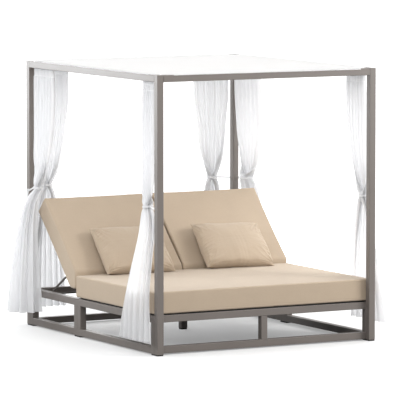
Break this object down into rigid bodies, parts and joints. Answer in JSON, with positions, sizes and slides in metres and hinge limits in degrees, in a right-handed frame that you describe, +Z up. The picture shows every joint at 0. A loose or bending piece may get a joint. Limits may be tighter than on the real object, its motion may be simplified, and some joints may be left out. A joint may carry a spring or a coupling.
{
  "type": "outdoor canopy daybed",
  "caption": "Square outdoor daybed: aluminium tube base and canopy frame, cloth roof, tied-back voile curtains, seat cushion, reclining backs on prop stays, scatter pillows.",
  "frame": {"origin": "middle of the whole footprint at floor level", "axes": "+X to the right of someone who stands at the foot end and looks at the bed, +Y towards the head end, +Z up"},
  "size_m": [2.288, 2.1634, 1.9833],
  "materials": {
    "frame": "taupe powder coat",
    "deck": "black coated board",
    "glide": "black",
    "hardware": "dark coated steel",
    "cushion": "sand woven outdoor fabric over foam",
    "voile": "white outdoor voile"
  },
  "bodies": {
    "frame": {"beam_back": "frame", "beam_front": "frame", "beam_left": "frame", "beam_right": "frame", "centre_leg": "frame", "centre_rail": "frame", "curtain_back_left": "voile", "curtain_back_right": "voile", "curtain_left_back": "voile", "curtain_left_front": "voile", "curtain_right_back": "voile", "curtain_right_front": "voile", "front_centre_post": "frame", "front_low_rail": "frame", "front_module_seam_rail": "frame", "front_module_side_frame_left": "frame", "front_module_side_frame_right": "frame", "front_top_rail": "frame", "glide_back_left": "glide", "glide_back_right": "glide", "glide_centre": "glide", "glide_front_left": "glide", "glide_front_right": "glide", "glide_middle_left": "glide", "glide_middle_right": "glide", "hinge_rod_left": "hardware", "hinge_rod_right": "hardware", "post_back_left": "frame", "post_back_right": "frame", "post_front_left": "frame", "post_front_right": "frame", "rack_centre": "hardware", "rack_left": "hardware", "rack_right": "hardware", "rear_low_rail": "frame", "rear_module_hinge_rail": "frame", "rear_module_side_frame_left": "frame", "rear_module_side_frame_right": "frame", "rear_top_rail": "frame", "roof_cloth": "voile", "seat_cushion": "cushion", "seat_deck": "deck", "tie_back_back_left": "voile", "tie_back_back_right": "voile", "tie_back_left_back": "voile", "tie_back_left_front": "voile", "tie_back_right_back": "voile", "tie_back_right_front": "voile"},
    "back_left": {"back_panel_left": "frame"},
    "stay_left": {"prop_stay_left_outer": "hardware", "prop_stay_left_inner": "hardware", "prop_foot_bar_left": "hardware"},
    "cushion_left": {"back_cushion_left": "cushion", "scatter_pillow_left": "cushion"},
    "back_right": {"back_panel_right": "frame"},
    "stay_right": {"prop_stay_right_outer": "hardware", "prop_stay_right_inner": "hardware", "prop_foot_bar_right": "hardware"},
    "cushion_right": {"back_cushion_right": "cushion", "scatter_pillow_right": "cushion"}
  },
  "joints": [
    {"name": "back_left_fold", "type": "hinge", "parent": "frame", "child": "back_left", "pos_m": [-0.4375, 0.24257, 0.275], "axis": [1, 0, 0], "range_deg": [-45, 0]},
    {"name": "prop_left_pivot", "type": "hinge", "parent": "back_left", "child": "stay_left", "pos_m": [-0.4375, 0.41369, 0.44612], "axis": [1, 0, 0], "range_deg": [0, 71.5]},
    {"name": "cushion_left_slip", "type": "slide", "parent": "back_left", "child": "cushion_left", "axis": [0, 0.7071, 0.7071], "range_m": [-0.1405, 0]},
    {"name": "back_right_fold", "type": "hinge", "parent": "frame", "child": "back_right", "pos_m": [0.4375, 0.24257, 0.275], "axis": [1, 0, 0], "range_deg": [-45, 0]},
    {"name": "prop_right_pivot", "type": "hinge", "parent": "back_right", "child": "stay_right", "pos_m": [0.4375, 0.41369, 0.44612], "axis": [1, 0, 0], "range_deg": [0, 71.5]},
    {"name": "cushion_right_slip", "type": "slide", "parent": "back_right", "child": "cushion_right", "axis": [0, 0.7071, 0.7071], "range_m": [-0.1405, 0]}
  ],
  "couplings": [
    {"joint": "prop_left_pivot", "follows": "back_left_fold", "ratio": -1.5837},
    {"joint": "cushion_left_slip", "follows": "back_left_fold", "m_per_rad": 0.17825},
    {"joint": "prop_right_pivot", "follows": "back_right_fold", "ratio": -1.5837},
    {"joint": "cushion_right_slip", "follows": "back_right_fold", "m_per_rad": 0.17825}
  ]
}
